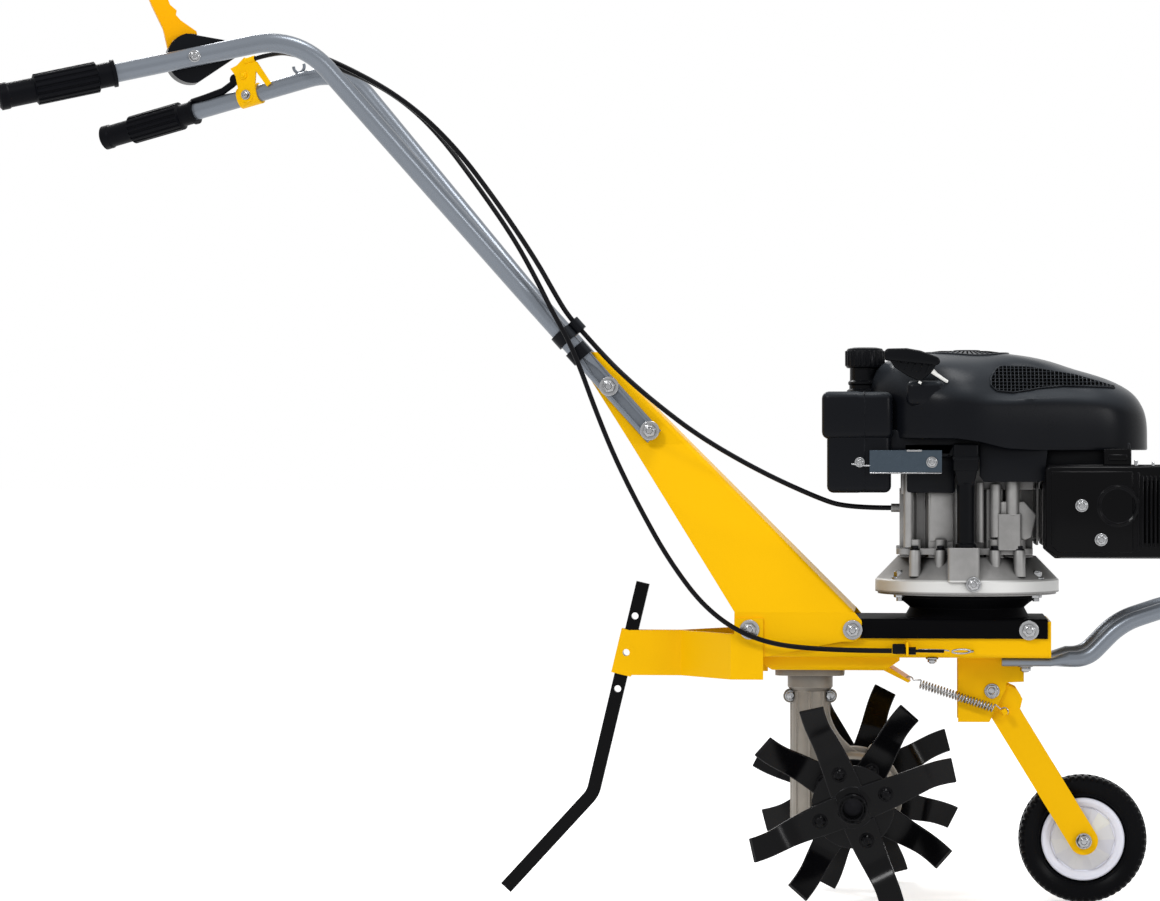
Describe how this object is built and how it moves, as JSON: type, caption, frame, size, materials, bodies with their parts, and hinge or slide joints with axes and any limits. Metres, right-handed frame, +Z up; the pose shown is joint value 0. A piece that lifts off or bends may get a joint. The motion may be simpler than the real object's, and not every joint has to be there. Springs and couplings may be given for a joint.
{
  "type": "walk-behind garden tiller",
  "caption": "Petrol garden tiller: four bent-blade tine sets under a gearbox leg, engine on a deck, folding front wheel, drag bar and tall handlebars.",
  "frame": {"origin": "on the ground, under the middle of the machine's bounding box without its cables", "axes": "+X in the working direction, towards the transport wheel; +Y to the operator's left; +Z up"},
  "size_m": [1.4402, 0.6242, 1.0694],
  "materials": {
    "yellow_paint": "gloss powder coat",
    "black_paint": "gloss powder coat",
    "grey_paint": "satin grey paint",
    "cast_alloy": "cast, bead blasted",
    "black_plastic": "fine grained moulding",
    "black_rubber": "matte",
    "tyre_rubber": "matte",
    "white_plastic": "smooth moulding",
    "yellow_plastic": "smooth moulding",
    "zinc_steel": "zinc plated",
    "dark_steel": "blackened"
  },
  "bodies": {
    "root": {"chassis_tray": "yellow_paint", "engine_deck": "black_paint", "gearbox_plate": "yellow_paint", "gearbox_housing": "cast_alloy", "wheel_bracket": "yellow_paint", "wheel_spring": "zinc_steel", "front_bumper": "grey_paint", "handle_column": "yellow_paint", "throttle_housing": "black_plastic", "throttle_lever": "yellow_plastic", "clutch_bracket": "yellow_paint", "clutch_lever": "black_paint", "cable_clips": "black_plastic", "throttle_cable": "black_plastic", "clutch_cable": "black_plastic", "cable_adjuster": "zinc_steel", "clutch_rod": "zinc_steel", "drag_bar_bracket": "yellow_paint", "engine_crankcase": "cast_alloy", "engine_cylinder": "cast_alloy", "blower_housing": "black_plastic", "fuel_tank": "black_plastic", "fuel_cap": "black_plastic", "recoil_handle": "black_plastic", "oil_filler": "black_plastic", "muffler": "black_paint", "air_filter": "black_plastic", "carburettor": "cast_alloy", "control_plate": "zinc_steel", "spark_plug_boot": "black_rubber", "handlebar_right": "grey_paint", "grip_right": "black_rubber", "handlebar_left": "grey_paint", "grip_left": "black_rubber", "arm_pivot_bolt": "zinc_steel"},
    "drag_bar": {"drag_bar": "black_paint"},
    "tine_rotor": {"tine_shaft": "dark_steel", "tine_hub_right": "black_paint", "tine_hub_left": "black_paint", "tine_set_right_inner": "black_paint", "tine_set_right_outer": "black_paint", "tine_set_left_inner": "black_paint", "tine_set_left_outer": "black_paint"},
    "wheel_arm": {"wheel_fork": "yellow_paint", "wheel_axle": "zinc_steel"},
    "front_wheel": {"wheel_tyre": "tyre_rubber", "wheel_hub": "white_plastic"}
  },
  "joints": [
    {"name": "drag_bar_slide", "type": "slide", "parent": "root", "child": "drag_bar", "axis": [0.2319, 0, 0.9727], "range_m": [-0.045, 0.045]},
    {"name": "tine_spin", "type": "hinge", "parent": "root", "child": "tine_rotor", "pos_m": [0.25561, 0, 0.12574], "axis": [0, 1, 0], "continuous": true},
    {"name": "arm_fold", "type": "hinge", "parent": "root", "child": "wheel_arm", "pos_m": [0.41861, 0, 0.253], "axis": [0, -1, 0], "range_deg": [0, 60], "deforming": ["wheel_spring"]},
    {"name": "wheel_spin", "type": "hinge", "parent": "wheel_arm", "child": "front_wheel", "pos_m": [0.52661, 0, 0.076], "axis": [0, 1, 0], "continuous": true}
  ]
}
